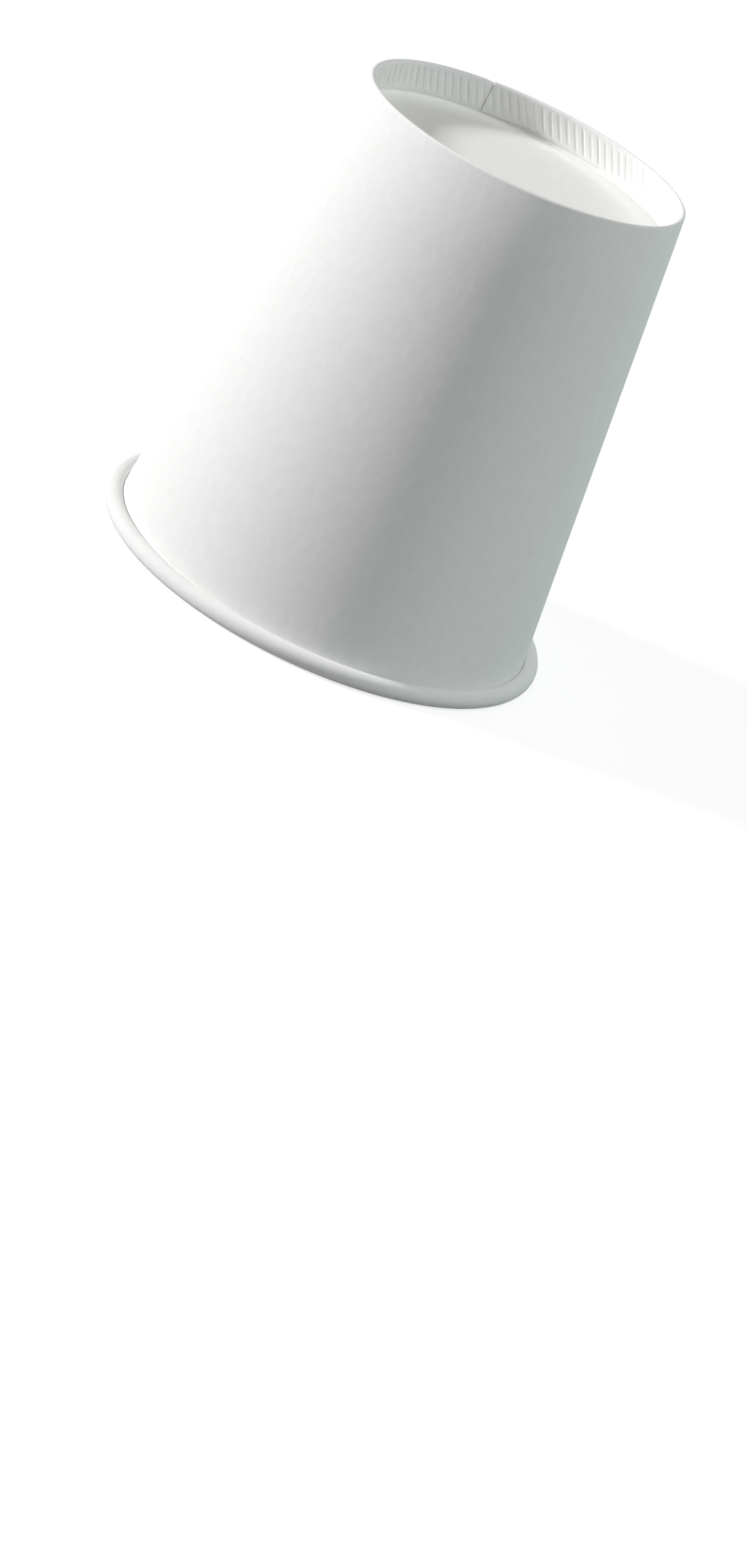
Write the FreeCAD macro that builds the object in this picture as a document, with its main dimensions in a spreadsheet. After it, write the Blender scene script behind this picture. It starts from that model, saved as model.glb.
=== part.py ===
import FreeCAD, Part
import math
import os
import Sketcher
from FreeCAD import Placement, Rotation, Vector

# A tapered, flat-bottomed paper cup of two pieces of board, standing mouth down on its rolled rim.
# Millimetres. The origin is the centre of the mouth plane, and +Z runs up to the foot.

doc = FreeCAD.newDocument("PaperCup")

# Driving sizes
drivingSizes = (
    ("rimDiameter", 75.0),  # over the rolled rim
    ("footDiameter", 53.0),  # over the folded foot
    ("cupHeight", 79.5),  # from the mouth plane to the crest of the foot
    ("beadDiameter", 2.8),  # the rolled rim's section
    ("wallBoard", 0.30),  # thickness of the wall's board
    ("discBoard", 0.26),  # thickness of the bottom's board
    ("seatGap", 0.02),  # left on each side of the bottom's skirt
    ("curlGap", 0.06),  # between the wall and the edge tucked into the curl
    ("tuckTurn", 50),  # degrees that the tucked edge runs on past the wall
    ("flangeDepth", 4.7),  # from the crest of the foot to the turned-in flange's edge
    ("discDepth", 5.85),  # from the crest of the foot to the bottom panel
    ("discCorner", 0.8),  # inside radius between the panel and its skirt
    ("lapWidth", 6.5),  # of the glued overlap, square to its edge
    ("lapStep", 0.22),  # what the pressed overlap adds to the wall
    ("lapRamp", 3.0),  # length over which the outer layer climbs onto the inner one
    ("lapAzimuth", 112),  # degrees from +X to the overlap's outer edge
    ("lapDip", 0.9),  # how far the overlap reaches down behind the curl's top
    ("ridgeCount", 110),  # knurled ridges round the flange
    ("grooveWidth", 0.62),  # across the groove between two ridges
    ("grooveDepth", 0.13),
    ("grooveLean", 27),  # degrees between a groove and the straight way down the wall
    ("grooveMargin", 0.15),  # plain strip between the crest's bend and the grooves
)
sizes = doc.addObject("Spreadsheet::Sheet", "Sizes")
for row, (alias, number) in enumerate(drivingSizes, start=1):
    sizes.set(f"A{row}", str(number))
    sizes.setAlias(f"A{row}", alias)
doc.recompute()

# Places worked out from the driving sizes, shared by both pieces
places = doc.addObject("App::VarSet", "Places")


def addPlace(name, formula, kind="App::PropertyFloat"):
    places.addProperty(kind, name, "Places")
    places.setExpression(name, formula)


addPlace("beadRadius", "Sizes.beadDiameter / 2")
addPlace("beadHollow", "Places.beadRadius - Sizes.wallBoard")
addPlace("beadAway", "Sizes.rimDiameter / 2 - Places.beadRadius")
addPlace("tuckRadius", "Places.beadHollow - Sizes.curlGap")
addPlace("slotRadius", "Sizes.discBoard / 2 + Sizes.seatGap")
addPlace("foldRadius", "Places.slotRadius + Sizes.wallBoard")
addPlace("foldAway", "Sizes.footDiameter / 2 - Places.foldRadius")
addPlace("foldUp", "Sizes.cupHeight - Places.foldRadius")
addPlace("flangeEnd", "Sizes.cupHeight - Sizes.flangeDepth")
addPlace("panelUp", "Sizes.cupHeight - Sizes.discDepth")
# The wall leaves the curl and enters the fold without a kink, which sets its lean.
addPlace("centreFall", "Places.beadAway - Places.foldAway")
addPlace("centreRise", "Places.foldUp - Places.beadRadius")
addPlace("centreSpan", "sqrt(Places.centreFall ^ 2 + Places.centreRise ^ 2)")
addPlace(
    "wallLean",
    "acos((Places.beadRadius + Places.slotRadius) / Places.centreSpan)"
    " - atan2(Places.centreRise; Places.centreFall)",
    "App::PropertyAngle",
)
# Radii of the wall's outer and inner face and the flange's bare face, carried on to the mouth plane
addPlace("foldAtMouth", "Places.foldAway + Places.foldUp * tan(Places.wallLean)")
addPlace("outerAtMouth", "Places.foldAtMouth + Places.foldRadius / cos(Places.wallLean)")
addPlace("innerAtMouth", "Places.foldAtMouth + Places.slotRadius / cos(Places.wallLean)")
addPlace("flangeAtMouth", "Places.foldAtMouth - Places.foldRadius / cos(Places.wallLean)")
# Heights of the overlap's ends and the grooves' ends, and the turn between a groove's ends
addPlace("lapStart", "Sizes.beadDiameter - Sizes.lapDip")
addPlace("stepStart", "0")
addPlace("grooveStart", "Places.flangeEnd - Sizes.grooveDepth")
addPlace("grooveEnd", "Places.foldUp - Sizes.grooveMargin")
addPlace(
    "grooveTurn",
    "(Places.grooveEnd - Places.grooveStart) * tan(Sizes.grooveLean * 1 deg)"
    " / (Places.flangeAtMouth - Places.flangeEnd * tan(Places.wallLean)) * 1 rad",
    "App::PropertyAngle",
)
doc.recompute()


def placeOf(name):
    number = getattr(places, name)
    return float(getattr(number, "Value", number))


def sizeOf(alias):
    return float(sizes.get(alias))


lean = math.radians(placeOf("wallLean"))
outwards = Vector(math.cos(lean), math.sin(lean), 0)  # square to the wall
downwards = Vector(math.sin(lean), -math.cos(lean), 0)  # along the wall, to the mouth
foldCentre = Vector(placeOf("foldAway"), placeOf("foldUp"), 0)


def newSketch(body, name, role):
    sketch = body.newObject("Sketcher::SketchObject", name)
    plane = [feature for feature in body.Origin.OriginFeatures if feature.Role == role][0]
    sketch.AttachmentSupport = [(plane, "")]
    sketch.MapMode = "FlatFace"
    return sketch


def levelSketch(body, name, height, turn):
    """A sketch on a level plane, at a height and turned about the cup's axis, both given as formulas."""
    sketch = newSketch(body, name, "XY_Plane")
    sketch.AttachmentOffset = Placement(Vector(0, 0, 1), Rotation(Vector(0, 0, 1), 1))
    sketch.setExpression("AttachmentOffset.Base.z", height)
    sketch.setExpression("AttachmentOffset.Rotation.Angle", turn)
    return sketch


def hold(sketch, formula, *constraint):
    """Adds a constraint with a size, bound to its formula."""
    index = sketch.addConstraint(Sketcher.Constraint(*constraint))
    sketch.setExpression(f"Constraints[{index}]", formula)


def holdPoint(sketch, geometry, point, across, up):
    """Holds a point at its distances from the sketch's origin, given as formulas."""
    here = sketch.getPoint(geometry, point)
    hold(sketch, across, "DistanceX", -1, 1, geometry, point, here.x)
    hold(sketch, up, "DistanceY", -1, 1, geometry, point, here.y)


def addArc(sketch, centre, radius, start, end):
    circle = Part.Circle(centre, Vector(0, 0, 1), radius)
    return sketch.addGeometry(Part.ArcOfCircle(circle, start, end), False)


def addLine(sketch, start, end):
    return sketch.addGeometry(Part.LineSegment(start, end), False)


def checkSection(sketch):
    """Stops where a sketch's sizes clash or leave its shape free."""
    if sketch.solve() != 0 or not sketch.FullyConstrained:
        raise RuntimeError(f"{sketch.Name} isn't fully held by its sizes")


# In a sketch, point 1 of a line or arc is its start, 2 its end and 3 an arc's centre.
def drawBlank(body):
    """The wall's board in section: rolled rim, straight wall, the foot's fold and its flange."""
    sketch = newSketch(body, "BlankSection", "XZ_Plane")
    beadRadius = placeOf("beadRadius")
    beadHollow = placeOf("beadHollow")
    tuckRadius = placeOf("tuckRadius")
    slotRadius = placeOf("slotRadius")
    foldRadius = placeOf("foldRadius")
    bead = Vector(placeOf("beadAway"), beadRadius, 0)
    tuck = bead + Vector(0, beadRadius - tuckRadius, 0)
    tuckHollow = tuckRadius - sizeOf("wallBoard")
    tuckEnd = math.pi + math.radians(sizeOf("tuckTurn"))
    tuckWay = Vector(math.cos(tuckEnd), math.sin(tuckEnd), 0)
    flange = downwards * (sizeOf("flangeDepth") - foldRadius)
    flangeFace = foldCentre - outwards * slotRadius
    flangeBack = foldCentre - outwards * foldRadius

    wallIn = addLine(sketch, bead - outwards * beadRadius, foldCentre + outwards * slotRadius)
    foldIn = addArc(sketch, foldCentre, slotRadius, lean, lean + math.pi)
    flangeIn = addLine(sketch, flangeFace, flangeFace + flange)
    flangeEdge = addLine(sketch, flangeFace + flange, flangeBack + flange)
    flangeOut = addLine(sketch, flangeBack + flange, flangeBack)
    foldOut = addArc(sketch, foldCentre, foldRadius, lean, lean + math.pi)
    wallOut = addLine(sketch, foldCentre + outwards * foldRadius, bead - outwards * beadHollow)
    beadIn = addArc(sketch, bead, beadHollow, lean - math.pi, math.pi / 2)
    tuckIn = addArc(sketch, tuck, tuckHollow, math.pi / 2, tuckEnd)
    tuckEdge = addLine(sketch, tuck + tuckWay * tuckHollow, tuck + tuckWay * tuckRadius)
    tuckOut = addArc(sketch, tuck, tuckRadius, math.pi / 2, tuckEnd)
    beadOut = addArc(sketch, bead, beadRadius, lean - math.pi, math.pi / 2)

    smoothJoints = (
        (wallIn, 2, foldIn, 1),
        (foldIn, 2, flangeIn, 1),
        (flangeOut, 2, foldOut, 2),
        (foldOut, 1, wallOut, 1),
        (wallOut, 2, beadIn, 1),
        (beadIn, 2, tuckIn, 1),
        (tuckOut, 1, beadOut, 2),
        (beadOut, 1, wallIn, 1),
    )
    sharpJoints = (
        (flangeIn, 2, flangeEdge, 1),
        (flangeEdge, 2, flangeOut, 1),
        (tuckIn, 2, tuckEdge, 1),
        (tuckEdge, 2, tuckOut, 2),
        (foldIn, 3, foldOut, 3),
        (beadIn, 3, beadOut, 3),
        (tuckIn, 3, tuckOut, 3),
    )
    for joint in smoothJoints:
        sketch.addConstraint(Sketcher.Constraint("Tangent", *joint))
    for joint in sharpJoints:
        sketch.addConstraint(Sketcher.Constraint("Coincident", *joint))
    sketch.addConstraint(Sketcher.Constraint("Perpendicular", flangeEdge, flangeIn))
    sketch.addConstraint(Sketcher.Constraint("Perpendicular", flangeEdge, flangeOut))
    sketch.addConstraint(Sketcher.Constraint("Parallel", flangeOut, wallOut))
    sketch.addConstraint(Sketcher.Constraint("Vertical", beadOut, 3, tuckOut, 3))
    sketch.addConstraint(Sketcher.Constraint("PointOnObject", tuckOut, 3, tuckEdge))
    hold(sketch, "(Sizes.tuckTurn - 180) * 1 deg", "Angle", tuckEdge, tuckEnd - 2 * math.pi)
    hold(sketch, "Places.flangeEnd", "DistanceY", -1, 1, flangeOut, 1, placeOf("flangeEnd"))
    hold(sketch, "Places.beadRadius", "Radius", beadOut, beadRadius)
    hold(sketch, "Places.beadHollow", "Radius", beadIn, beadHollow)
    hold(sketch, "Places.tuckRadius", "Radius", tuckOut, tuckRadius)
    hold(sketch, "Places.slotRadius", "Radius", foldIn, slotRadius)
    hold(sketch, "Places.foldRadius", "Radius", foldOut, foldRadius)
    holdPoint(sketch, beadOut, 3, "Places.beadAway", "Places.beadRadius")
    holdPoint(sketch, foldOut, 3, "Places.foldAway", "Places.foldUp")
    return sketch


def revolve(body, name, sketch):
    turned = body.newObject("PartDesign::Revolution", name)
    turned.Profile = sketch
    turned.ReferenceAxis = (sketch, ["V_Axis"])
    turned.Angle = 360
    doc.recompute()
    checkSection(sketch)
    return turned


def drawDisc(body):
    """The bottom's board in section: the flat panel, its rounded corner and the skirt in the fold."""
    sketch = newSketch(body, "DiscSection", "XZ_Plane")
    board = sizeOf("discBoard")
    corner = sizeOf("discCorner")
    panelUp = placeOf("panelUp")
    skirtFace = foldCentre - outwards * (board / 2)
    skirtBack = foldCentre + outwards * (board / 2)
    # Distance down the skirt to where its inner face is one corner radius above the panel
    run = (skirtFace.y - panelUp - corner - corner * math.sin(lean)) / math.cos(lean)
    bend = skirtFace + downwards * run - outwards * corner

    panelFace = addLine(sketch, Vector(0, panelUp, 0), Vector(bend.x, panelUp, 0))
    bendIn = addArc(sketch, bend, corner, -math.pi / 2, lean)
    skirtIn = addLine(sketch, bend + outwards * corner, skirtFace)
    skirtEdge = addLine(sketch, skirtFace, skirtBack)
    skirtOut = addLine(sketch, skirtBack, bend + outwards * (corner + board))
    bendOut = addArc(sketch, bend, corner + board, -math.pi / 2, lean)
    panelBack = addLine(sketch, Vector(bend.x, panelUp - board, 0), Vector(0, panelUp - board, 0))
    axis = addLine(sketch, Vector(0, panelUp - board, 0), Vector(0, panelUp, 0))

    for joint in (
        (panelFace, 2, bendIn, 1),
        (bendIn, 2, skirtIn, 1),
        (skirtOut, 2, bendOut, 2),
        (bendOut, 1, panelBack, 1),
    ):
        sketch.addConstraint(Sketcher.Constraint("Tangent", *joint))
    for joint in (
        (skirtIn, 2, skirtEdge, 1),
        (skirtEdge, 2, skirtOut, 1),
        (panelBack, 2, axis, 1),
        (axis, 2, panelFace, 1),
        (bendIn, 3, bendOut, 3),
    ):
        sketch.addConstraint(Sketcher.Constraint("Coincident", *joint))
    sketch.addConstraint(Sketcher.Constraint("Horizontal", panelFace))
    sketch.addConstraint(Sketcher.Constraint("Horizontal", panelBack))
    sketch.addConstraint(Sketcher.Constraint("PointOnObject", axis, 1, -2))
    sketch.addConstraint(Sketcher.Constraint("Perpendicular", skirtEdge, skirtIn))
    sketch.addConstraint(Sketcher.Constraint("Parallel", skirtOut, skirtIn))
    hold(sketch, "90 deg + Places.wallLean", "Angle", skirtIn, math.pi / 2 + lean)
    hold(sketch, "Sizes.discCorner", "Radius", bendIn, corner)
    hold(sketch, "Sizes.discCorner + Sizes.discBoard", "Radius", bendOut, corner + board)
    holdPoint(sketch, axis, 2, "0", "Places.panelUp")
    holdPoint(
        sketch,
        skirtEdge,
        1,
        "Places.foldAway - Sizes.discBoard / 2 * cos(Places.wallLean)",
        "Places.foldUp - Sizes.discBoard / 2 * sin(Places.wallLean)",
    )
    return sketch


def faceAt(mouthRadius, height):
    """The formula and present value of a slanted face's radius at a height."""
    formula = f"({mouthRadius} - {height} * tan(Places.wallLean))"
    present = placeOf(mouthRadius.split(".")[1]) - placeOf(height.split(".")[1]) * math.tan(lean)
    return formula, present


def drawLap(body, name, height):
    """The outer layer's overlap in plan: it climbs a ramp, runs level and ends in a cut edge on the X axis."""
    sketch = levelSketch(body, name, height, "Sizes.lapAzimuth * 1 deg")
    formula, face = faceAt("Places.outerAtMouth", height)
    crownRadius = face + sizeOf("lapStep")
    buriedRadius = face - sizeOf("wallBoard") / 2
    width = sizeOf("lapWidth")
    reach = width + sizeOf("lapRamp")
    crownEnd = Vector(math.sqrt(crownRadius**2 - width**2), -width, 0)
    rampFoot = Vector(math.sqrt(face**2 - reach**2), -reach, 0)
    rootEnd = Vector(math.sqrt(buriedRadius**2 - reach**2), -reach, 0)

    edge = addLine(sketch, Vector(buriedRadius, 0, 0), Vector(crownRadius, 0, 0))
    crown = addArc(sketch, Vector(), crownRadius, math.atan2(crownEnd.y, crownEnd.x), 0)
    ramp = addLine(sketch, crownEnd, rampFoot)
    root = addLine(sketch, rampFoot, rootEnd)
    buried = addArc(sketch, Vector(), buriedRadius, math.atan2(rootEnd.y, rootEnd.x), 0)
    for joint in (
        (edge, 2, crown, 2),
        (crown, 1, ramp, 1),
        (ramp, 2, root, 1),
        (root, 2, buried, 1),
        (buried, 2, edge, 1),
        (crown, 3, -1, 1),
        (buried, 3, -1, 1),
    ):
        sketch.addConstraint(Sketcher.Constraint("Coincident", *joint))
    sketch.addConstraint(Sketcher.Constraint("PointOnObject", edge, 1, -1))
    sketch.addConstraint(Sketcher.Constraint("PointOnObject", edge, 2, -1))
    sketch.addConstraint(Sketcher.Constraint("Horizontal", root))
    hold(sketch, f"{formula} + Sizes.lapStep", "Radius", crown, crownRadius)
    hold(sketch, f"{formula} - Sizes.wallBoard / 2", "Radius", buried, buriedRadius)
    hold(sketch, "Sizes.lapWidth", "DistanceY", ramp, 1, -1, 1, width)
    hold(sketch, "Sizes.lapWidth + Sizes.lapRamp", "DistanceY", ramp, 2, -1, 1, reach)
    hold(sketch, formula, "Distance", -1, 1, ramp, 2, face)
    return sketch


def drawStep(body, name, height):
    """What the climbing outer layer leaves free on the inside, up to the inner layer's cut edge, in plan."""
    sketch = levelSketch(body, name, height, "Sizes.lapAzimuth * 1 deg")
    formula, face = faceAt("Places.innerAtMouth", height)
    width = sizeOf("lapWidth")
    reach = width + sizeOf("lapRamp")
    stepRadius = face + sizeOf("lapStep")
    clearRadius = face - sizeOf("wallBoard")
    corners = [
        Vector(math.sqrt(radius**2 - side**2), -side, 0)
        for radius, side in ((face, reach), (stepRadius, width), (clearRadius, width), (clearRadius, reach))
    ]
    ramp, edge, clear, toe = [addLine(sketch, corners[i], corners[(i + 1) % 4]) for i in range(4)]
    for joint in ((ramp, 2, edge, 1), (edge, 2, clear, 1), (clear, 2, toe, 1), (toe, 2, ramp, 1)):
        sketch.addConstraint(Sketcher.Constraint("Coincident", *joint))
    sketch.addConstraint(Sketcher.Constraint("Horizontal", edge))
    sketch.addConstraint(Sketcher.Constraint("Horizontal", toe))
    hold(sketch, "Sizes.lapWidth", "DistanceY", edge, 1, -1, 1, width)
    hold(sketch, "Sizes.lapWidth + Sizes.lapRamp", "DistanceY", ramp, 1, -1, 1, reach)
    hold(sketch, formula, "Distance", -1, 1, ramp, 1, face)
    hold(sketch, f"{formula} + Sizes.lapStep", "Distance", -1, 1, edge, 1, stepRadius)
    hold(sketch, f"{formula} - Sizes.wallBoard", "Distance", -1, 1, clear, 1, clearRadius)
    hold(sketch, f"{formula} - Sizes.wallBoard", "Distance", -1, 1, toe, 1, clearRadius)
    return sketch


def drawGroove(body, name, height, turn):
    """One groove of the knurl in plan: a wedge whose point lies in the board and whose back stands clear."""
    sketch = levelSketch(body, name, height, turn)
    formula, face = faceAt("Places.flangeAtMouth", height)
    depth = sizeOf("grooveDepth")
    width = sizeOf("grooveWidth")
    point = Vector(face + depth, 0, 0)
    left = Vector(face - depth, width, 0)
    right = Vector(face - depth, -width, 0)
    sides = (addLine(sketch, point, left), addLine(sketch, left, right), addLine(sketch, right, point))
    for joint in ((sides[0], 2, sides[1], 1), (sides[1], 2, sides[2], 1), (sides[2], 2, sides[0], 1)):
        sketch.addConstraint(Sketcher.Constraint("Coincident", *joint))
    sketch.addConstraint(Sketcher.Constraint("PointOnObject", sides[0], 1, -1))
    sketch.addConstraint(Sketcher.Constraint("Symmetric", sides[1], 1, sides[1], 2, -1))
    hold(sketch, f"{formula} + Sizes.grooveDepth", "DistanceX", -1, 1, sides[0], 1, point.x)
    hold(sketch, f"{formula} - Sizes.grooveDepth", "DistanceX", -1, 1, sides[1], 1, left.x)
    hold(sketch, "Sizes.grooveWidth", "DistanceY", -1, 1, sides[1], 1, width)
    return sketch


def loft(body, kind, name, lower, upper):
    """A straight-sided form between two level sketches; stops if it adds or takes nothing."""
    before = body.Shape.Volume
    form = body.newObject(kind, name)
    form.Profile = lower
    form.Sections = [upper]
    form.Ruled = True
    doc.recompute()
    checkSection(lower)
    checkSection(upper)
    change = form.Shape.Volume - before
    if (change > 0) != (kind == "PartDesign::AdditiveLoft") or abs(change) < 1e-3:
        raise RuntimeError(f"{name} changes the body by {change} cubic millimetres")
    return form


def makeSideWall():
    body = doc.addObject("PartDesign::Body", "side_wall")
    body.Label = "side_wall"
    revolve(body, "Blank", drawBlank(body))
    loft(
        body,
        "PartDesign::AdditiveLoft",
        "Overlap",
        drawLap(body, "LapLow", "Places.lapStart"),
        drawLap(body, "LapHigh", "Places.foldUp"),
    )
    loft(
        body,
        "PartDesign::SubtractiveLoft",
        "InnerEdge",
        drawStep(body, "StepLow", "Places.stepStart"),
        drawStep(body, "StepHigh", "Places.panelUp"),
    )
    groove = loft(
        body,
        "PartDesign::SubtractiveLoft",
        "Groove",
        drawGroove(body, "GrooveLow", "Places.grooveStart", "0 deg"),
        drawGroove(body, "GrooveHigh", "Places.grooveEnd", "Places.grooveTurn"),
    )
    knurl = body.newObject("PartDesign::PolarPattern", "Knurl")
    knurl.Originals = [groove]
    knurl.Axis = (body.Group[0], ["V_Axis"])
    knurl.Angle = 360
    knurl.setExpression("Occurrences", "Sizes.ridgeCount")
    body.Tip = knurl
    doc.recompute()
    return body


def makeBottomDisc():
    body = doc.addObject("PartDesign::Body", "bottom_disc")
    body.Label = "bottom_disc"
    revolve(body, "Pressed", drawDisc(body))
    return body


pieces = (makeSideWall(), makeBottomDisc())
for item in doc.Objects:
    if "Invalid" in item.State or "Error" in item.State:
        raise RuntimeError(f"{item.Name} is {item.State}")
for piece in pieces:
    if piece.Shape.isNull() or not piece.Shape.isValid() or len(piece.Shape.Solids) != 1:
        raise RuntimeError(f"{piece.Label} isn't one sound solid")

os.makedirs("parts", exist_ok=True)
for piece in pieces:
    piece.Shape.exportStep(f"parts/{piece.Label}.step")
    print(piece.Label, round(piece.Shape.Volume, 2), "cubic millimetres")
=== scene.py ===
import math
import random

import bmesh
import bpy
from mathutils import Matrix, Vector, noise


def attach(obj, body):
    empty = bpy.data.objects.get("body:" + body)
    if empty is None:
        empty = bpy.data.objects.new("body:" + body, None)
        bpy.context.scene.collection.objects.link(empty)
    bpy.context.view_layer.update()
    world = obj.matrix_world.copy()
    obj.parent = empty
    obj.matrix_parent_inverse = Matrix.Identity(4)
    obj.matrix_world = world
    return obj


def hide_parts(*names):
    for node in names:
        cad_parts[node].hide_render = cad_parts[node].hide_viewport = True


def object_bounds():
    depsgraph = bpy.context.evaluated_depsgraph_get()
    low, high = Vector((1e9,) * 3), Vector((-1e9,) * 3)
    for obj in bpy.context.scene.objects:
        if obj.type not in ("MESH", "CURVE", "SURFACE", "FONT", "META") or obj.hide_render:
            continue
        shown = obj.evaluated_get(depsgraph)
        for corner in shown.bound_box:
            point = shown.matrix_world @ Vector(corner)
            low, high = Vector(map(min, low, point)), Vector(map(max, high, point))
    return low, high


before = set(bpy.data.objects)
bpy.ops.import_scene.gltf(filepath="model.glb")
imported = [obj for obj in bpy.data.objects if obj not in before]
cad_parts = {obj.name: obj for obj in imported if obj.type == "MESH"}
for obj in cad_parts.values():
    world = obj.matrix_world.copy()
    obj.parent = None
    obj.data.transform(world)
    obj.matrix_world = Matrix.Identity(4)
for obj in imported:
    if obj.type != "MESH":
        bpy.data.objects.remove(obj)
cadLow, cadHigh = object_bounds()

# A paper cup standing mouth down on a pale floor. Sizes are in millimetres, and each mesh is made in metres.
mm = 0.001


def linear(hexColour):  # sRGB hex to linear RGBA
    channels = [int(hexColour[start : start + 2], 16) / 255 for start in (1, 3, 5)]
    return [c / 12.92 if c <= 0.04045 else ((c + 0.055) / 1.055) ** 2.4 for c in channels] + [1.0]


def ease(value):  # 0 to 1 with level ends
    value = min(max(value, 0.0), 1.0)
    return value * value * (3 - 2 * value)


# One node: its own settings, then its inputs by name or _number, each as a value or the socket that feeds it
def addNode(material, kind, settings=None, **inputs):
    node = material.node_tree.nodes.new(kind)
    for name, value in (settings or {}).items():
        setattr(node, name, value)
    for name, value in inputs.items():
        key = int(name[1:]) if name[0] == "_" else name.replace("_", " ")
        if isinstance(value, bpy.types.NodeSocket):
            material.node_tree.links.new(value, node.inputs[key])
        else:
            node.inputs[key].default_value = value
    return node


def newMaterial(name):
    material = bpy.data.materials.new(name)
    material.use_nodes = True
    material.node_tree.nodes.clear()
    return material


# White cup board: bleached and calendered, bare outside, so an even matt white with little gloss. Clouds of
# fibres are just felt in it, longer up the wall than round it.
grain = {
    "cloud": 1.25,  # mm from cloud to cloud
    "fibre": 0.31,  # mm, several fibres wide, so that it still shows
    "stretch": 2.2,
    "low": 0.3,  # the range of the noise that shades the board, from 0 to 1
    "high": 0.7,
    "relief": 0.045,  # mm, over the whole range of the noise, so the part in use gives less than half of it
    "fibreShare": 0.07,
    "smooth": 0.72,
    "dull": 0.84,
}


def paperBoard(name, colour, shade, coordinates):
    material = newMaterial(name)
    if coordinates == "Blank":
        flat = addNode(material, "ShaderNodeUVMap", {"uv_map": "Blank"}).outputs[0]
    else:
        spot = addNode(material, "ShaderNodeTexCoord").outputs["Object"]
        flat = addNode(material, "ShaderNodeMapping", Vector=spot, Scale=(1 / mm, 1 / mm, 1 / mm)).outputs[0]
    drawn = (1.0, 1 / grain["stretch"], 1.0)
    along = addNode(material, "ShaderNodeMapping", Vector=flat, Scale=drawn).outputs[0]
    cloud = addNode(
        material, "ShaderNodeTexNoise", Vector=along, Scale=1 / grain["cloud"], Detail=4.0, Roughness=0.6
    ).outputs[0]
    fibre = addNode(
        material, "ShaderNodeTexNoise", Vector=along, Scale=1 / grain["fibre"], Detail=3.0, Roughness=0.55
    ).outputs[0]
    used = {"From_Min": grain["low"], "From_Max": grain["high"]}
    tone = addNode(material, "ShaderNodeMapRange", Value=cloud, **used).outputs[0]
    mix = addNode(material, "ShaderNodeMix", {"data_type": "RGBA"}, _0=tone, _6=shade, _7=colour).outputs[2]
    sheen = addNode(
        material, "ShaderNodeMapRange", Value=fibre, To_Min=grain["smooth"], To_Max=grain["dull"], **used
    ).outputs[0]
    height = addNode(
        material, "ShaderNodeMath", {"operation": "MULTIPLY_ADD"}, _0=fibre, _1=grain["fibreShare"], _2=cloud
    ).outputs[0]
    bump = addNode(
        material, "ShaderNodeBump", Height=height, Strength=1.0, Distance=grain["relief"] * mm
    ).outputs[0]
    board = addNode(
        material,
        "ShaderNodeBsdfPrincipled",
        Base_Color=mix,
        Roughness=sheen,
        IOR=1.5,
        Specular_IOR_Level=0.28,  # its open face gives back less than a closed one
        Normal=bump,
    ).outputs[0]
    addNode(material, "ShaderNodeOutputMaterial", Surface=board)
    return material


wallPaper = paperBoard("White cup board", linear("#F6F6F5"), linear("#F2F2F1"), "Blank")
discPaper = paperBoard("White bottom board", linear("#F7F7F4"), linear("#F4F4F1"), "Object")
print("materials made")

# Side wall: one blank of board, laid flat as a slab and wrapped round the axis, row by row of its section
wall = {
    "rimRadius": 37.5,
    "footRadius": 26.5,
    "height": 79.5,
    "board": 0.30,
    "bead": 1.4,  # radius of the rim's curl
    "tuck": 1.04,  # radius of the edge rolled up inside the curl
    "tuckTurn": 50,  # degrees of it that are hidden inside
    "creviceLow": 1.7,  # from here up, over the next height, the tucked edge leans on the wall
    "creviceRise": 1.1,
    "creviceLean": 0.2,
    "slot": 0.15,  # half of the room for the bottom's skirt in the folded foot
    "flangeDepth": 5.2,
    "thinFrom": 74.9,  # below this height the flange is pressed thin on to the disc's corner
    "thinOver": 0.6,
    "thinShare": 0.5,
    "lapAzimuth": 112,  # of the blank's raw end; its start reaches back under it by the lap's width
    "lapWidth": 6.5,
    "lapRamp": 3.0,  # in which the end climbs on to the start
    "lapSettle": 2.0,  # in which the start comes back to full board
    "lapPressed": 0.26,  # each glued layer in the wall
    "lapCrest": 0.148,  # each layer over the foot's crest
    "lapFlange": 0.165,  # each layer in the knurl
    "crestFrom": 74,  # the wall's layers go over to the crest's from this height
    "glue": 0.003,
    "curlShare": 0.5,  # of the second layer that the curl takes up in its hollow
    "tuckClear": 0.36,  # by which the doubled tuck stands off inside the curl
    "tuckClearOver": 0.6,
    "rows": {"tuck": 6, "curl": 14, "wall": 6, "crest": 6, "flange": 15},
    "lapColumns": 35,
    "seamColumns": 24,  # beside the seam, where the flange's columns come back to upright
    "ridges": 110,
    "columnsPerRidge": 8,
    "grooveHalf": 0.36,
    "grooveDepth": 0.18,
    "grooveMost": 0.85,  # of the board's thickness
    "grooveTurn": 4.8,  # degrees round the cup that a groove goes from end to end
    "grooveLow": 74.67,
    "grooveHigh": 78.9,
    "grooveFade": 0.6,
    "grooveWander": 0.2,  # of a groove's ends
    "grooveLeast": 0.65,  # of the depth, where the knurl was pressed lightly
    "looseAzimuth": 94,  # where the flange's edge came off the bottom and was torn
    "looseSpread": 6.3,
    "looseFrom": 75.4,
    "looseOver": 1.1,
    "looseLift": 0.5,
    "looseTear": 0.8,
    "looseTeeth": 26,  # to a radian
    "wave": 0.05,  # hand-scale unevenness of the wall
    "waveBends": 1.6,
    "waveRise": 40,
    "dent": 0.02,  # small nicks in the curl
    "dentBends": 9,
}
fold = wall["slot"] + wall["board"]
bead = Vector((wall["rimRadius"] - wall["bead"], wall["bead"]))
tuckCentre = bead + Vector((0, wall["bead"] - wall["tuck"]))
foldCentre = Vector((wall["footRadius"] - fold, wall["height"] - fold))
span = foldCentre - bead
lean = math.acos((wall["bead"] + wall["slot"]) / span.length) - math.atan2(span.y, -span.x)
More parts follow.
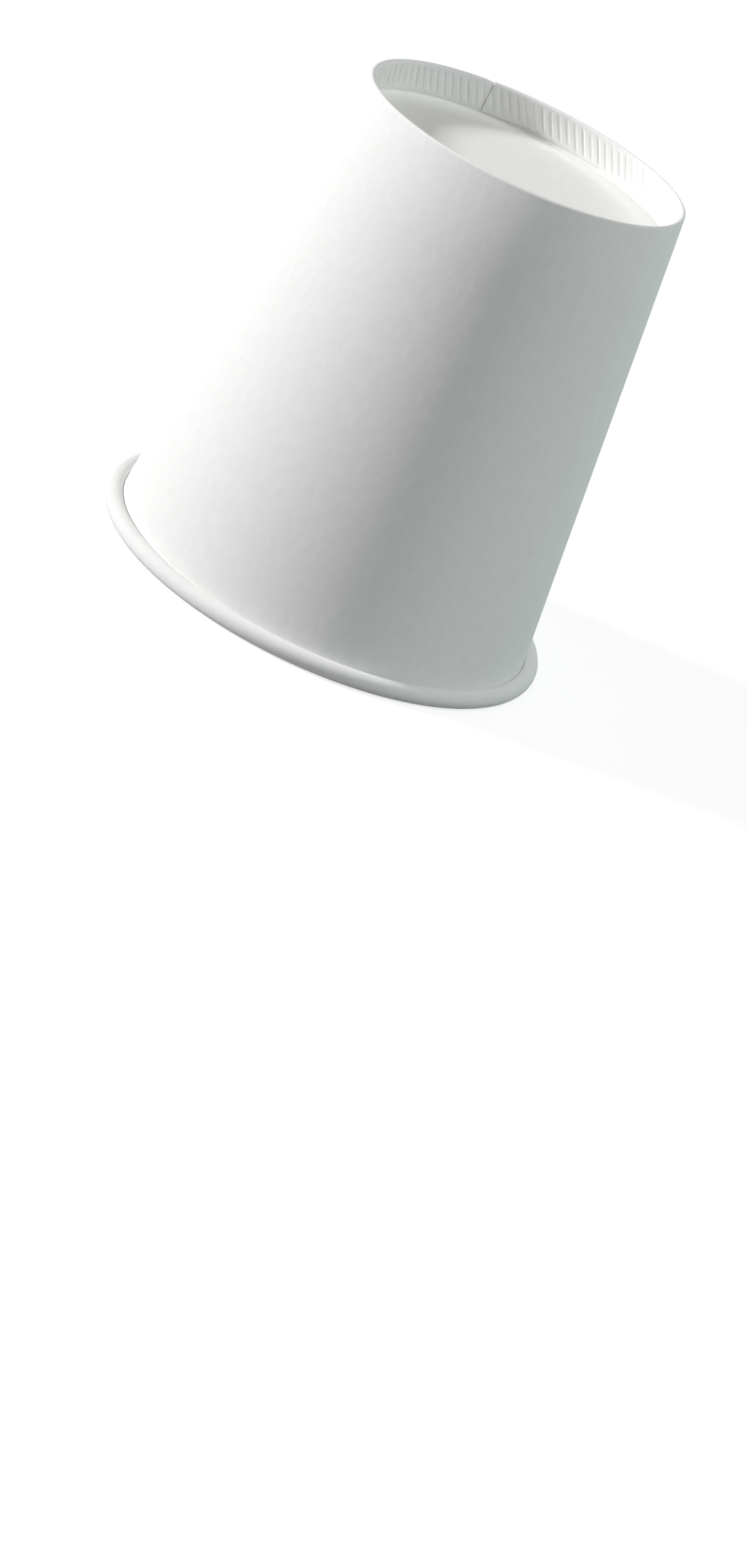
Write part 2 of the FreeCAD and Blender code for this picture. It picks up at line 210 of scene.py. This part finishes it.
out = Vector((math.cos(lean), math.sin(lean)))  # square to the wall
down = Vector((math.sin(lean), -math.cos(lean)))  # along it, to the rim
flangeTop = foldCentre - out * wall["slot"]


# Rows round a bend: each a point on the board's first face and the way through the board from there
def bend(centre, radius, start, end, steps, sense):
    turns = [start + (end - start) * step / steps for step in range(steps + 1)]
    ways = [Vector((math.cos(turn), math.sin(turn))) for turn in turns]
    return [(centre + way * radius, way * sense) for way in ways]


def run(start, end, way, steps):  # rows along a straight stretch
    return [(start.lerp(end, step / steps), way) for step in range(steps + 1)]


stretchRows = wall["rows"]
hiddenEnd = bend(tuckCentre, wall["tuck"], math.pi + math.radians(wall["tuckTurn"]), math.pi, 1, -1)[:1]
flangeEnd = flangeTop + down * (wall["flangeDepth"] - fold)
stretches = {
    "tuck": hiddenEnd + bend(tuckCentre, wall["tuck"], math.pi, math.pi / 2, stretchRows["tuck"], -1),
    "curl": bend(bead, wall["bead"], math.pi / 2, lean - math.pi, stretchRows["curl"], -1)[1:],
    "wall": run(bead - out * wall["bead"], foldCentre + out * wall["slot"], out, stretchRows["wall"])[1:],
    "crest": bend(foldCentre, wall["slot"], lean, lean + math.pi, stretchRows["crest"], 1)[1:],
    "flange": run(flangeTop, flangeEnd, -out, stretchRows["flange"])[1:],
}
section = [(stretch, point, way) for stretch, places in stretches.items() for point, way in places]
reach = [0.0]  # along the section, in mm of board
for (_, before, _), (_, after, _) in zip(section, section[1:]):
    reach.append(reach[-1] + (after - before).length)

pitch = math.tau / wall["ridges"]
columnTurn = pitch / wall["columnsPerRidge"]
columns = wall["ridges"] * wall["columnsPerRidge"] + wall["lapColumns"]
lapEnd = math.radians(wall["lapAzimuth"])
chance = random.Random(7)
presses = [chance.uniform(wall["grooveLeast"], 1.0) for _ in range(wall["ridges"])]
wanders = [[chance.uniform(-1, 1) * wall["grooveWander"] for _ in range(2)] for _ in range(wall["ridges"])]


def knurlLift(height):  # 0 at the lower end of the knurl and 1 at its upper end
    return (height - wall["grooveLow"]) / (wall["grooveHigh"] - wall["grooveLow"])


# Depth of the knurl in the flange's bare face
def grooveAt(turn, point):
    place = (turn - math.radians(wall["grooveTurn"]) * knurlLift(point.y)) / pitch
    ridge = round(place)
    away = abs(place - ridge) * pitch * point.x
    if away > wall["grooveHalf"]:
        return 0.0
    upper, lower = wanders[ridge % wall["ridges"]]
    ends = ease((wall["grooveHigh"] + upper - point.y) / wall["grooveFade"])
    ends *= ease((point.y - wall["grooveLow"] - lower) / wall["grooveFade"])
    dip = 0.5 + 0.5 * math.cos(math.pi * away / wall["grooveHalf"])
    return wall["grooveDepth"] * presses[ridge % wall["ridges"]] * dip * ends


# Round the cup, in radians: the blank's first columns lie under the lap, closer together than the others
def turnOf(column, stretch, point):
    turn = lapEnd + (column - wall["lapColumns"]) * columnTurn
    if column < wall["lapColumns"]:
        turn = lapEnd - math.asin(wall["lapWidth"] / point.x) * (1 - column / wall["lapColumns"])
    if stretch == "flange":  # its columns follow the knurl
        slant = max(1 - knurlLift(point.y), 0.0)
        free = ease(min(column, columns - column) / wall["seamColumns"])
        turn -= math.radians(wall["grooveTurn"]) * slant * free
    return turn


# The blank's loose edge, drawn back up the flange
def drawnBack(turn, height):
    ragged = noise.noise(Vector((turn * wall["looseTeeth"], 3.1, 0.7)))  # any line through the noise
    away = (math.degrees(turn) % 360 - wall["looseAzimuth"]) / wall["looseSpread"]
    tear = wall["looseLift"] + wall["looseTear"] * ragged
    return math.exp(-(away**2)) * tear * ease((wall["looseFrom"] - height) / wall["looseOver"])


# The place on the cup of one corner of the slab, by its column, its row and its face of the board
def wrap(column, row, through):
    stretch, point, way = section[row]
    turn = turnOf(column, stretch, point)

    # The lap: the blank's last stretch climbs on to its first one, both pressed thinner
    settled = ease(1 - (turn - lapEnd) * point.x / wall["lapSettle"])
    climbed = ease(1 - ((lapEnd + math.tau - turn) * point.x - wall["lapWidth"]) / wall["lapRamp"])
    doubled = max(settled, climbed)
    crested = ease((point.y - wall["crestFrom"]) / (wall["height"] - fold - wall["crestFrom"]))
    pressed = wall["lapPressed"] + (wall["lapCrest"] - wall["lapPressed"]) * crested
    if stretch == "flange":
        pressed = wall["lapFlange"]
    elif stretch == "crest":
        pressed = wall["lapCrest"]
    thickness = wall["board"] + (pressed - wall["board"]) * doubled
    lift = (pressed + wall["glue"]) * climbed

    # The curl takes up part of the second layer, and its tucked edge closes on the wall
    inward = 1 - max(0.0, way.y)
    if stretch == "tuck" or (stretch == "curl" and point.x > bead.x):
        lift -= wall["curlShare"] * pressed * doubled * inward
    if stretch == "tuck":
        edge = (tuckCentre.y + wall["tuck"] - point.y) / wall["tuckClearOver"]
        lift += wall["tuckClear"] * doubled * ease(edge)
        rise = min(max((point.y - wall["creviceLow"]) / wall["creviceRise"], 0.0), 1.0)
        lift -= wall["creviceLean"] * math.sin(math.pi * rise) * max(0.0, way.x)

    # Unevenness, inwards only round the curl
    ring = Vector((math.cos(turn), math.sin(turn), 0))
    cloud = noise.noise(ring * wall["waveBends"] + Vector((0, 0, point.y / wall["waveRise"])))
    if stretch == "wall":
        lift += wall["wave"] * cloud * math.sin(math.pi * point.y / wall["height"])
    elif stretch == "curl":
        nick = noise.noise(ring * wall["dentBends"] + Vector((0, 0, wall["dentBends"] / 2)))
        lift += wall["dent"] * (1 + cloud + nick) * inward
    elif stretch == "flange":
        thickness *= 1 - wall["thinShare"] * ease((wall["thinFrom"] - point.y) / wall["thinOver"])
        thickness -= min(grooveAt(turn, point), wall["grooveMost"] * thickness) * through
        point = point - down * drawnBack(turn, point.y)

    place = point + way * (lift + thickness * through)
    return Vector((place.x * math.cos(turn), place.x * math.sin(turn), place.y)) * mm


def finishMesh(shell, name, material, sharp=50):
    bmesh.ops.recalc_face_normals(shell, faces=shell.faces[:])
    for face in shell.faces:
        face.smooth = True
    for edge in shell.edges:
        if len(edge.link_faces) == 2 and edge.calc_face_angle() > math.radians(sharp):
            edge.smooth = False
    mesh = bpy.data.meshes.new(name)
    shell.to_mesh(mesh)
    shell.free()
    mesh.materials.append(material)
    piece = bpy.data.objects.new(name, mesh)
    bpy.context.collection.objects.link(piece)
    return piece


bm = bmesh.new()
rows = len(section) - 1
girth = math.tau * (wall["rimRadius"] + wall["footRadius"]) / 2
bmesh.ops.create_grid(bm, x_segments=columns, y_segments=rows, size=0.5)
slab = bmesh.ops.extrude_face_region(bm, geom=bm.faces[:])
bmesh.ops.translate(bm, vec=(0, 0, 1), verts=[v for v in slab["geom"] if isinstance(v, bmesh.types.BMVert)])
blank = bm.loops.layers.uv.new("Blank")  # the flat blank in millimetres, for the paper's grain
for quad in bm.faces:
    for loop in quad.loops:
        laid = loop.vert.co
        loop[blank].uv = ((laid.x + 0.5) * girth, reach[round((laid.y + 0.5) * rows)])
for vert in bm.verts:
    vert.co = wrap(round((vert.co.x + 0.5) * columns), round((vert.co.y + 0.5) * rows), round(vert.co.z))
sideWall = finishMesh(bm, "SideWall", wallPaper)
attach(sideWall, "root")
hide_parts("side_wall")
print("side wall wrapped:", len(sideWall.data.polygons), "faces")

# Bottom disc: a flat panel with a turned-up skirt, its section swept once round the axis
disc = {
    "board": 0.26,
    "corner": 0.7,  # inside radius between panel and skirt
    "panelUp": 73.65,
    "rings": 12,  # they keep the corner's shading off the flat panel
    "cornerRings": 6,
    "segments": 256,
    "weld": 1e-7,  # metres, for the points that meet on the axis
}
skirtFace = foldCentre - out * (disc["board"] / 2)
fall = (skirtFace.y - disc["panelUp"] - disc["corner"] * (1 + math.sin(lean))) / math.cos(lean)
corner = skirtFace + down * fall - out * disc["corner"]
cornerBack = disc["corner"] + disc["board"]
panel = Vector((0, disc["panelUp"]))
panelBack = panel - Vector((0, disc["board"]))

profile = run(panel, Vector((corner.x, panel.y)), out, disc["rings"])
profile += bend(corner, disc["corner"], -math.pi / 2, lean, disc["cornerRings"], 1)[1:]
profile += [(skirtFace, out), (skirtFace + out * disc["board"], out)]
profile += bend(corner, cornerBack, lean, -math.pi / 2, disc["cornerRings"], 1)
profile += run(Vector((corner.x, panelBack.y)), panelBack, out, disc["rings"])[1:]
bm = bmesh.new()
outline = [bm.verts.new(Vector((point.x, 0, point.y)) * mm) for point, _ in profile]
for first, second in zip(outline, outline[1:]):
    bm.edges.new((first, second))
bmesh.ops.spin(
    bm,
    geom=bm.edges[:],
    cent=(0, 0, 0),
    axis=(0, 0, 1),
    angle=math.tau,
    steps=disc["segments"],
    use_merge=True,
)
bmesh.ops.remove_doubles(bm, verts=bm.verts[:], dist=disc["weld"])
bottomDisc = finishMesh(bm, "BottomDisc", discPaper)
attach(bottomDisc, "root")
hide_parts("bottom_disc")
print("bottom disc swept:", len(bottomDisc.data.polygons), "faces")

# Camera: the photograph's, looking down on the cup from -Y and rolled, so that the cup leans to the right
shot = {
    "elevation": 23.24,
    "roll": 26.16,
    "standOff": (8.50, -32.26, 662.94),  # mm from the origin: to the picture's right, up it and out of it
    "lens": 95.28,
    "sensor": 36,
    "clipStart": 0.01,  # metres
}
camera = bpy.data.objects.new("Camera", bpy.data.cameras.new("Camera"))
camera.data.lens = shot["lens"]
camera.data.sensor_width = shot["sensor"]
camera.data.clip_start = shot["clipStart"]
tilted = Matrix.Rotation(math.radians(90 - shot["elevation"]), 4, "X")
rolled = Matrix.Rotation(math.radians(shot["roll"]), 4, "Z")
camera.matrix_world = tilted @ rolled @ Matrix.Translation(Vector(shot["standOff"]) * mm)
bpy.context.collection.objects.link(camera)
bpy.context.scene.camera = camera


# 1 where the camera sees a surface itself, in a gloss or through it, and 0 where it only lights something
def inSight(material):
    rays = addNode(material, "ShaderNodeLightPath").outputs
    seen = rays["Is Camera Ray"]
    for other in ("Is Glossy Ray", "Is Transmission Ray"):
        either = addNode(material, "ShaderNodeMath", {"operation": "MAXIMUM"}, _0=seen, _1=rays[other])
        seen = either.outputs[0]
    return seen


# Pale floor: matt paint that takes the cup's shadow and, in sight, fades into the white backdrop
ground = {
    "colour": "#B2B2B2",
    "roughness": 0.9,
    "radius": 4,  # metres
    "segments": 96,
    "glow": 0.72,
    "fadeFrom": 0.1,  # metres from the cup's axis
    "fadeTo": 0.6,
}
floorPaint = newMaterial("Pale studio floor")
ownPlace = addNode(floorPaint, "ShaderNodeTexCoord").outputs["Object"]
distance = addNode(floorPaint, "ShaderNodeVectorMath", {"operation": "LENGTH"}, _0=ownPlace).outputs[1]
fade = addNode(
    floorPaint,
    "ShaderNodeMapRange",
    Value=distance,
    From_Min=ground["fadeFrom"],
    From_Max=ground["fadeTo"],
    To_Min=ground["glow"],
    To_Max=1.0,
).outputs[0]
sight = inSight(floorPaint)
glow = addNode(floorPaint, "ShaderNodeMath", {"operation": "MULTIPLY"}, _0=fade, _1=sight).outputs[0]
paint = addNode(
    floorPaint,
    "ShaderNodeBsdfPrincipled",
    Base_Color=linear(ground["colour"]),
    Roughness=ground["roughness"],
    Emission_Color=linear("#FFFFFF"),
    Emission_Strength=glow,
).outputs[0]
addNode(floorPaint, "ShaderNodeOutputMaterial", Surface=paint)

bm = bmesh.new()
bmesh.ops.create_circle(bm, cap_ends=True, segments=ground["segments"], radius=ground["radius"])
floor = finishMesh(bm, "Floor", floorPaint)

# Lamps: azimuth in degrees from the camera's side, + to its right
lamps = {
    "Key": {"azimuth": -78, "elevation": 23, "away": 1.5, "size": 0.22, "light": 2.92, "colour": "#FFFFFF"},
    "Top": {"azimuth": 72, "elevation": 64, "away": 1.3, "size": 0.7, "light": 1.2, "colour": "#FFFEFD"},
    "Front": {"azimuth": 30, "elevation": 20, "away": 1.3, "size": 0.7, "light": 0.11, "colour": "#EEF9FB"},
    "Back": {"azimuth": 95, "elevation": 25, "away": 1.3, "size": 0.7, "light": 0.17, "colour": "#E8FBF9"},
    "Side": {"azimuth": 85, "elevation": 18, "away": 1.3, "size": 0.5, "light": 0.22, "colour": "#D0F8F2"},
    "Edge": {"azimuth": 145, "elevation": 0, "away": 0.6, "size": 0.06, "light": 0.24, "colour": "#40CCBC"},
    "Rear": {"azimuth": 190, "elevation": 30, "away": 1.3, "size": 0.7, "light": 0.2, "colour": "#FFFAF6"},
}
aim = Vector((0, 0, cadHigh[2] / 2))
for role, lamp in lamps.items():
    light = bpy.data.lights.new(role, "AREA")
    light.size = lamp["size"]
    light.color = linear(lamp["colour"])[:3]
    light.energy = lamp["light"] * math.pi * lamp["away"] ** 2  # watts that give this irradiance at the cup
    holder = bpy.data.objects.new(role, light)
    azimuth, elevation = math.radians(lamp["azimuth"]), math.radians(lamp["elevation"])
    outward = Vector((math.sin(azimuth), -math.cos(azimuth), math.tan(elevation))).normalized()
    holder.location = aim + outward * lamp["away"]
    holder.rotation_euler = outward.to_track_quat("Z", "Y").to_euler()
    holder.visible_camera = False
    bpy.context.collection.objects.link(holder)

# World: white where it is in sight, a dim even fill otherwise
backdrop = {"colour": "#FFFFFF", "fill": 0.02}
world = bpy.data.worlds.new("Studio")
bpy.context.scene.world = world
world.use_nodes = True
world.node_tree.nodes.clear()
level = addNode(world, "ShaderNodeMapRange", Value=inSight(world), To_Min=backdrop["fill"]).outputs[0]
sky = addNode(world, "ShaderNodeBackground", Color=linear(backdrop["colour"]), Strength=level).outputs[0]
addNode(world, "ShaderNodeOutputWorld", Surface=sky)
bpy.context.scene.view_settings.view_transform = "Standard"
print("camera, floor and lamps placed")
